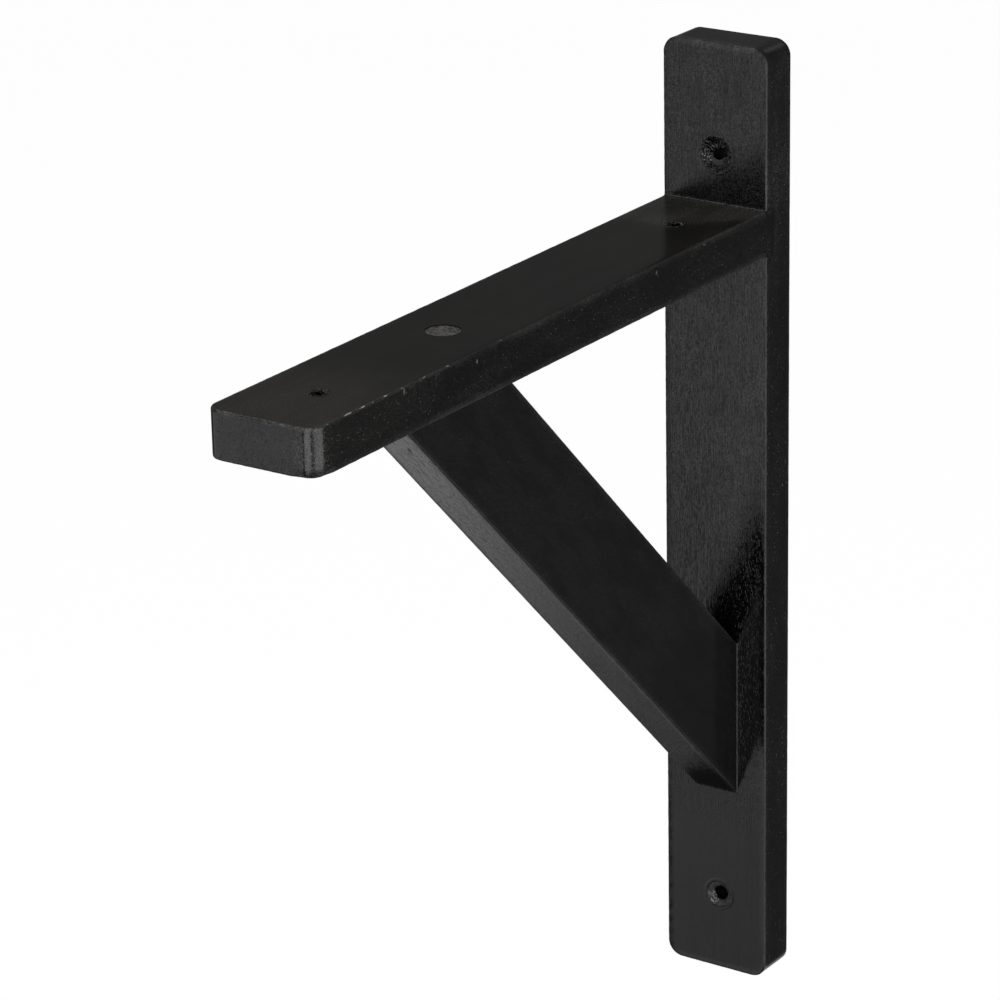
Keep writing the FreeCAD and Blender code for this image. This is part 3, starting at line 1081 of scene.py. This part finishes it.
def brace_edge_distance(local):
    """How far each point is from the nearest of the brace's four long edges."""
    from_side = np.abs(np.abs(local[:, 0]) - brace_high[0])
    return np.hypot(from_side, np.minimum(np.abs(local[:, 1]), np.abs(local[:, 1] - brace_depth)))


def brace_edges(points):
    """How long an edge may be at each place on the brace."""
    on_edge = brace_edge_distance(on_brace(points)) < 1.2
    return np.minimum(only_at(on_edge, 1.7), finer_near(away(points, brace_knot), 0.4, 2.0, 10))


refine(skin, brace_edges)
strut = closed(skin, "brace")

# %% Wear and finish the brace
places, outward = places_of(strut)
drawn = places.copy()
local = on_brace(drawn)
edge = brace_edge_distance(local)
on_joint = (outward[:, 2] > 0.9) | (outward[:, 1] > 0.9)
hollow = 0.05 * (uneven(local, (22, 22, 70), 8) - 1)
crisp = 0.08 * fade(edge, 0.45, 0.9) * (0.7 + 0.6 * uneven(drawn, 1.4, 9))
knot = (drawn - np.array(brace_knot)) @ np.array([(1, 0, 0), down_brace, out_of_brace]).T
dent = -0.13 * fade(np.hypot(knot[:, 0] / 0.8, knot[:, 1] / 1.3), 0.3, 1.2)
places += outward * ((hollow + crisp + dent) * ~on_joint)[:, None]
put_back(strut, places)
side = ease(np.abs(outward[:, 0]), 0.6, 0.9)
# Fewer flecks, less haze and less grit towards the foot: painted shade, darker towards the foot
painted_shade_to_foot = ease(local[:, 2], 60, 130)
notes(
    strut,
    grain=0.10 * side + 0.30 * (1 - side),
    fleck=side * (0.20 - 0.12 * painted_shade_to_foot) + 0.10 * (1 - side),
    grit=0.10 + side * (0.65 - 0.55 * ease(local[:, 2], 50, 130)),
    haze=0.03 * side * (1 - painted_shade_to_foot) + 0.01,
    rim=fade(edge, 0.3, 1.2),
    rub=0.25 * fade(edge, 0.3, 1.0),
    bare=0.10 * fade(edge, 0.2, 1.0),
)
show(strut, "brace_lacquered", brace_lacquer, "brace")

# %% [markdown]
# ## The plug
#
# A round plug hides the screw that comes down into the brace. It took the lacquer badly, and is a matte,
# speckled grey with dark pits. The same lacquer with more haze would stay too smooth, so the plug has a
# paint of its own, and its top is raised in low lumps.
# %% Paint for the plug
plug_paint, graph, surface = new_finish("plug_paint")
in_plug = in_grain(graph, (0, 0, 0), 5.0)
mottle = fibres(graph, in_plug, 0.60, 0.60, 1.0)
blotches = fibres(graph, in_plug, 3.5, 3.5, 2.0)
pits = dust_dots(graph, in_plug, spacing=1.00, radius=0.42, share=0.50)
tone = eased(graph, total(graph, mottle, product(graph, blotches, 0.4)), 0.48, 0.88)
colour = blended(graph, tone, (0.020, 0.019, 0.018, 1), (0.36, 0.347, 0.325, 1))
colour = blended(graph, product(graph, pits, 0.85), colour, (0.012, 0.012, 0.012, 1))
lay_on(graph, surface, colour, eased(graph, mottle, 0.3, 0.7, 0.5, 0.8), product(graph, mottle, 0.10))

# %% Plug
skin = open_copy("screw_plug")
refine(skin, lambda points: np.full(len(points), 0.6))
plug = closed(skin, "screw_plug")
places, outward = places_of(plug)
places[:, 2] += (outward[:, 2] > 0.7) * 0.08 * (uneven(places, 1.4, 3) - 0.2)
put_back(plug, places)
show(plug, "screw_plug_painted", plug_paint, "screw_plug")

# %% [markdown]
# ## Growing small shapes with Geometry Nodes
#
# Threads, beads of lacquer, torn fibres and nibs of dust repeat or follow a path, so each is grown by a tree
# of nodes from a few sizes. They could be typed in as points too, but a tree keeps its sizes where they can
# be turned. The result is read back as a plain mesh, so that it can be exported and ride like any piece.
# %% Start, end and run a tree


def new_tree(name, sizes):
    """An empty geometry tree with a named input for each size."""
    tree = bpy.data.node_groups.new(name, "GeometryNodeTree")
    tree.interface.new_socket("Geometry", in_out="INPUT", socket_type="NodeSocketGeometry")
    for word, value in sizes.items():
        size = tree.interface.new_socket(word, in_out="INPUT", socket_type="NodeSocketFloat")
        size.default_value = value
    tree.interface.new_socket("Geometry", in_out="OUTPUT", socket_type="NodeSocketGeometry")
    return tree, tree.nodes.new("NodeGroupInput").outputs


def end_tree(tree, geometry, finish):
    """Make what has grown real, give it its finish and end the tree."""
    real = add(tree, "GeometryNodeRealizeInstances", {0: geometry})
    painted = add(tree, "GeometryNodeSetMaterial", {"Geometry": real.outputs[0], "Material": finish})
    add(tree, "NodeGroupOutput", {0: painted.outputs[0]})


def grow(base, name, tree, sizes=None):
    """Run a tree on a mesh or a curve and give back its result as a plain mesh."""
    seedbed = bpy.data.objects.new(name, base)
    bpy.context.scene.collection.objects.link(seedbed)
    modifier = seedbed.modifiers.new("tree", "NODES")
    modifier.node_group = tree
    sockets = [item for item in tree.interface.items_tree if item.item_type == "SOCKET"]
    identifiers = {socket.name: socket.identifier for socket in sockets if socket.in_out == "INPUT"}
    for word, value in (sizes or {}).items():
        modifier[identifiers[word]] = value
    evaluated = seedbed.evaluated_get(bpy.context.evaluated_depsgraph_get())
    mesh = bpy.data.meshes.new_from_object(evaluated)
    mesh.name = name
    bpy.data.objects.remove(seedbed)
    print(f"{name}: {len(mesh.polygons)} faces grown")
    return mesh


# %% Words for trees


def chance(tree, low, high, seed):
    """A random number for each point, the same at every run."""
    return add(tree, "FunctionNodeRandomValue", {2: low, 3: high, "Seed": seed}).outputs[1]


def three(tree, x, y, z):
    """Three numbers as one vector."""
    return add(tree, "ShaderNodeCombineXYZ", {0: x, 1: y, 2: z}).outputs[0]


def height_of(tree, value):
    """The third number of a vector."""
    return add(tree, "ShaderNodeSeparateXYZ", {0: value}).outputs["Z"]


def swept(tree, curve, sides, radius, scale):
    """A bar with so many sides along a curve, closed at its ends."""
    section = add(tree, "GeometryNodeCurvePrimitiveCircle", {"Resolution": sides, "Radius": radius})
    inputs = {"Curve": curve, "Profile Curve": section.outputs[0], "Scale": scale, "Fill Caps": True}
    return add(tree, "GeometryNodeCurveToMesh", inputs).outputs[0]


def scattered(tree, surface, density, seed, selection=True):
    """Points strewn over a surface, and the turn that stands a shape upright on each."""
    inputs = {"Mesh": surface, "Selection": selection, "Density": density, "Seed": seed}
    strewn = add(tree, "GeometryNodeDistributePointsOnFaces", inputs).outputs
    return strewn[0], strewn["Rotation"]


def planted(tree, points, shape, rotation, scale):
    """One copy of a shape on each point."""
    inputs = {"Points": points, "Instance": shape.outputs[0], "Rotation": rotation, "Scale": scale}
    return add(tree, "GeometryNodeInstanceOnPoints", inputs).outputs[0]


# %% [markdown]
# ## Screws with a thread
#
# Four wood screws hold the bracket. Their heads show in the back of the board and under the plug. The drawn
# screw has its head, neck and point, with a smooth sleeve where the thread is. Here the sleeve is drawn in to
# the core, and a helix with a three-sided section is wound around it. A screw modifier could wind it as
# well, but the tree lets the thread run out over the point.
# %% Yellow zinc and the thread's sizes
zinc = mottled(
    "yellow_zinc",
    seed=2.0,
    size=1.1,
    detail=3.0,
    dark=(0.62, 0.50, 0.26, 1),
    light=(0.74, 0.66, 0.46, 1),
    spread=(0.3, 0.7),
    rough=(0.25, 0.42),
    depth=0.01,
    metallic=1.0,
)
thread_start, thread_end = 6.2, 38.6
thread_pitch, thread_outside, thread_core = 1.8, 2.0, 1.38
thread_sizes = {
    "Pitch": thread_pitch * MM,
    "Length": (thread_end - thread_start) * MM,
    "Core": thread_core * MM,
    "Height": (thread_outside - thread_core) * MM,
    "Run out": 4.2 * MM,
}

# %% The thread's tree
tree, given = new_tree("screw_thread", thread_sizes)
winding = {
    "Resolution": 28,
    "Rotations": maths(tree, "DIVIDE", given["Length"], given["Pitch"]),
    "Start Radius": given["Core"],
    "End Radius": given["Core"],
    "Height": given["Length"],
}
spiral = add(tree, "GeometryNodeCurveSpiral", winding).outputs[0]
position = add(tree, "GeometryNodeInputPosition").outputs[0]
from_neck = height_of(tree, position)
to_point = maths(tree, "SUBTRACT", given["Length"], from_neck)
run_out = eased(tree, maths(tree, "DIVIDE", to_point, given["Run out"]), 0.0, 1.0, 0.12, 1.0)
run_in = eased(tree, maths(tree, "DIVIDE", from_neck, given["Pitch"]), 0.0, 1.0, 0.1, 1.0)
tapered = vector(tree, "MULTIPLY", position, three(tree, run_out, run_out, 1.0))
wound = add(tree, "GeometryNodeSetPosition", {"Geometry": spiral, "Position": tapered}).outputs[0]
upright = add(tree, "GeometryNodeSetCurveNormal", {"Curve": wound}, mode="Z_UP").outputs[0]
thread = swept(tree, upright, 3, given["Height"], maths(tree, "MINIMUM", run_out, run_in))
end_tree(tree, thread, zinc)
thread_tree = tree
print("a thread has", round((thread_end - thread_start) / thread_pitch), "turns")

# %% Cut the threads
neck_radius, neck_end, shoulder = 1.5, 5.8, 0.25


def drawn_to_core(skin, head, inward):
    """Shrink a screw's sleeve to its core, with a small shoulder at the neck."""
    for vertex in skin.verts:
        from_head = vertex.co - head
        depth = from_head.dot(inward)
        out = from_head - inward * depth
        at_neck = depth < neck_end + 0.1
        if depth > neck_end - 0.1 and (not at_neck or out.length > neck_radius + 0.1):
            vertex.co = head + inward * (depth + shoulder * at_neck) + out * thread_core / thread_outside


def threaded(node):
    """A drawn screw with its sleeve drawn in and a thread wound around it."""
    low, high = box_mm(node)
    length_axis = int(np.argmax(high - low))
    head = Vector((low + high) / 2)
    head[length_axis] = high[length_axis]
    inward = Vector([-1.0 if axis == length_axis else 0.0 for axis in range(3)])
    skin = open_copy(node)
    drawn_to_core(skin, head, inward)
    thread = grow(bpy.data.meshes.new(node), f"{node}_thread", thread_tree, thread_sizes)
    turn = inward.to_track_quat("Z", "Y").to_matrix().to_4x4()
    thread.transform(Matrix.Translation(head + inward * thread_start) @ turn @ Matrix.Scale(1 / MM, 4))
    skin.from_mesh(thread)
    bpy.data.meshes.remove(thread)
    bmesh.ops.recalc_face_normals(skin, faces=skin.faces)
    mesh = closed(skin, node)
    mesh.transform(Matrix.Scale(MM, 4))
    show(mesh, f"{node}_threaded", zinc, node)


for node in ("brace_top_screw", "brace_heel_screw", "arm_screw_left", "arm_screw_right"):
    threaded(node)

# %% [markdown]
# ## Beads of lacquer in the joints
#
# Where two pieces meet, the wet lacquer gathered in the corner and dried as a thin round bead. It catches
# the light as a fine line. A curve with a bevel would make an even wire. The tree walks along a curve and
# sweeps a circle whose size wanders, as a brushed bead does.
# %% The bead's tree
bead_sizes = {"Radius": 0.48 * MM, "Unevenness": 0.6, "Step": 0.5 * MM}
tree, given = new_tree("lacquer_bead", bead_sizes)
steps = {"Curve": given["Geometry"], "Length": given["Step"]}
walked = add(tree, "GeometryNodeResampleCurve", steps, mode="LENGTH").outputs[0]
lumps = add(tree, "ShaderNodeTexNoise", {"Scale": 0.55 / MM, "Detail": 2.0}).outputs[0]
swell = total(tree, product(tree, total(tree, lumps, -0.5), 3.0, given["Unevenness"]), 1.0)
end_tree(tree, swept(tree, walked, 10, given["Radius"], swell), board_lacquer)
bead_tree = tree

# %% Where the beads run
arm_under = arm_low[2]
bead_in = arm_high[0] - 0.9
across_board = [[(end, board_front, height) for end in (-bead_in, bead_in)] for height in (0.0, arm_under)]
half_brace = float(brace_high[0])
toe = float(brace_low[1])
inner = toe + brace_depth / slant
foot_corners = [(half_brace, toe), (half_brace, inner), (-half_brace, inner), (-half_brace, toe)]
footprint = [*foot_corners, foot_corners[0]]
round_brace = [
    [(across, reach, arm_under) for across, reach in footprint],
    [(across, board_front, reach) for across, reach in footprint],
]
print(len(across_board) + len(round_brace), "beads to lay")

# %% Lay the beads


def path(name, lines):
    """A curve with one straight-sided spline for each line of points, closed where its ends meet."""
    curve = bpy.data.curves.new(name, "CURVE")
    curve.dimensions = "3D"
    for points in lines:
        spline = curve.splines.new("POLY")
        ends_meet = points[0] == points[-1]
        kept = points[:-1] if ends_meet else points
        spline.points.add(len(kept) - 1)
        for point, place in zip(spline.points, kept):
            point.co = (*(value * MM for value in place), 1.0)
        spline.use_cyclic_u = ends_meet
    return curve


def bead_piece(name, lines, sizes, rub_and_highlight_share):
    """One piece of beads along some lines, with rubbed grey on them that is a painted highlight."""
    mesh = grow(path(name, lines), name, bead_tree, {**bead_sizes, **sizes})
    notes(mesh, rub=rub_and_highlight_share)
    show(mesh, name, board_lacquer, None, crease=60.0)


# The rubbed grey on each bead is a painted highlight along its line, strongest on the bead at the arm
bead_piece("bead_at_arm", across_board, {}, 0.75)
bead_piece("bead_around_brace", round_brace, {"Radius": 0.30 * MM}, 0.10)

# %% [markdown]
# ## Torn fibres
#
# Where the drill came out on the arm's top, it lifted slivers of wood round both holes. They were painted
# with the rest, then rubbed pale by the shelf. The tree scatters points on the ring round a hole and plants a
# thin cone on each, leaning away from the hole. Combing a particle system would do it too, but its result
# would have to be frozen by hand.
# %% Torn wood and the fibres' sizes
torn_wood = mottled(
    "torn_wood",
    seed=7.0,
    size=0.9,
    detail=2.0,
    dark=(0.012, 0.012, 0.012, 1),
    light=(0.42, 0.40, 0.36, 1),
    spread=(0.40, 0.62),
    rough=(0.35, 0.7),
    depth=0.05,
)
fibre_sizes = {
    "Hole X": 0.0,
    "Hole Y": 0.0,
    "Inner": 2.2 * MM,
    "Outer": 3.5 * MM,
    "Density": 1.9 / MM**2,
    "Length": 0.9 * MM,
    "Thickness": 0.12 * MM,
}

# %% The torn fibres' tree
tree, given = new_tree("torn_fibres", fibre_sizes)
position = add(tree, "GeometryNodeInputPosition").outputs[0]
middle = three(tree, given["Hole X"], given["Hole Y"], 0.0)
from_hole = vector(tree, "MULTIPLY", vector(tree, "SUBTRACT", position, middle), (1, 1, 0))
reach = vector(tree, "LENGTH", from_hole)
facing_up = height_of(tree, add(tree, "GeometryNodeInputNormal").outputs[0])
in_ring = product(
    tree,
    maths(tree, "GREATER_THAN", reach, given["Inner"]),
    maths(tree, "LESS_THAN", reach, given["Outer"]),
    maths(tree, "GREATER_THAN", facing_up, 0.3),
)
points, _ = scattered(tree, given["Geometry"], given["Density"], 4, in_ring)
taper = {"Radius Top": 0.02 * MM, "Radius Bottom": given["Thickness"]}
sliver = add(tree, "GeometryNodeMeshCone", {"Vertices": 5, **taper, "Depth": given["Length"]})
leaning = {0: (-1.6, -1.6, 0.05), 1: (1.4, 1.4, 0.6), "Seed": 5}
spread = add(tree, "FunctionNodeRandomValue", leaning, data_type="FLOAT_VECTOR").outputs[0]
lean = vector(tree, "ADD", vector(tree, "NORMALIZE", from_hole), spread)
turned = add(tree, "FunctionNodeAlignRotationToVector", {"Vector": lean}, axis="Z").outputs[0]
end_tree(tree, planted(tree, points, sliver, turned, chance(tree, 0.35, 1.0, 6)), torn_wood)
fibre_tree = tree

# %% Plant the torn fibres
sliver_room = np.array((0, 0, 0.6))


def kept_inside(mesh, low, high):
    """Hold a grown mesh inside a box given in millimetres."""
    places, _ = places_of(mesh)
    put_back(mesh, np.clip(places / MM, low, high))


for word, (hole_x, hole_y) in zip(("front", "back"), torn_holes):
    mesh = grow(arm, f"torn_fibres_{word}", fibre_tree, {"Hole X": hole_x * MM, "Hole Y": hole_y * MM})
    kept_inside(mesh, arm_low, arm_high + sliver_room)
    show(mesh, f"torn_fibres_{word}", torn_wood, None, crease=60.0)

# %% [markdown]
# ## Dust in the lacquer
#
# Dust settled on the sides while the coat was wet, and dried in as pale nibs. Dots in the finish show most
# of it, but the larger nibs stand out against the light, so they are shapes: each is a tiny flattened ball.
# The note for grit on the piece says where they lie close together.
# %% The dust's tree
dust_grey = mottled(
    "dust_grey",
    seed=9.0,
    size=0.6,
    detail=1.0,
    dark=(0.02, 0.02, 0.02, 1),
    light=(0.13, 0.128, 0.124, 1),
    spread=(0.35, 0.65),
    rough=(0.5, 0.9),
    depth=0.02,
)
dust_sizes = {"Density": 0.025 / MM**2, "Radius": 0.075 * MM}
tree, given = new_tree("dust_in_lacquer", dust_sizes)
grit_note = add(tree, "GeometryNodeInputNamedAttribute", {"Name": "grit"}, data_type="FLOAT").outputs[0]
density = product(tree, given["Density"], grit_note)
points, standing = scattered(tree, given["Geometry"], density, 8)
ball = add(tree, "GeometryNodeMeshIcoSphere", {"Radius": given["Radius"], "Subdivisions": 1})
squashed = three(tree, chance(tree, 0.5, 1.4, 9), chance(tree, 0.5, 1.8, 10), 0.45)
end_tree(tree, planted(tree, points, ball, standing, squashed), dust_grey)
dust_tree = tree

# %% Lay the dust
for word, base, low, high, slot in (
    ("board", board, board_low, board_high, "lacquered_board"),
    ("arm", arm, arm_low, arm_high, "lacquered_arm"),
    ("brace", strut, brace_low, brace_high, "lacquered_brace"),
):
    mesh = grow(base, f"dust_on_{word}", dust_tree)
    kept_inside(mesh, low, high)
    show(mesh, f"dust_on_{word}", dust_grey, None, crease=60.0)
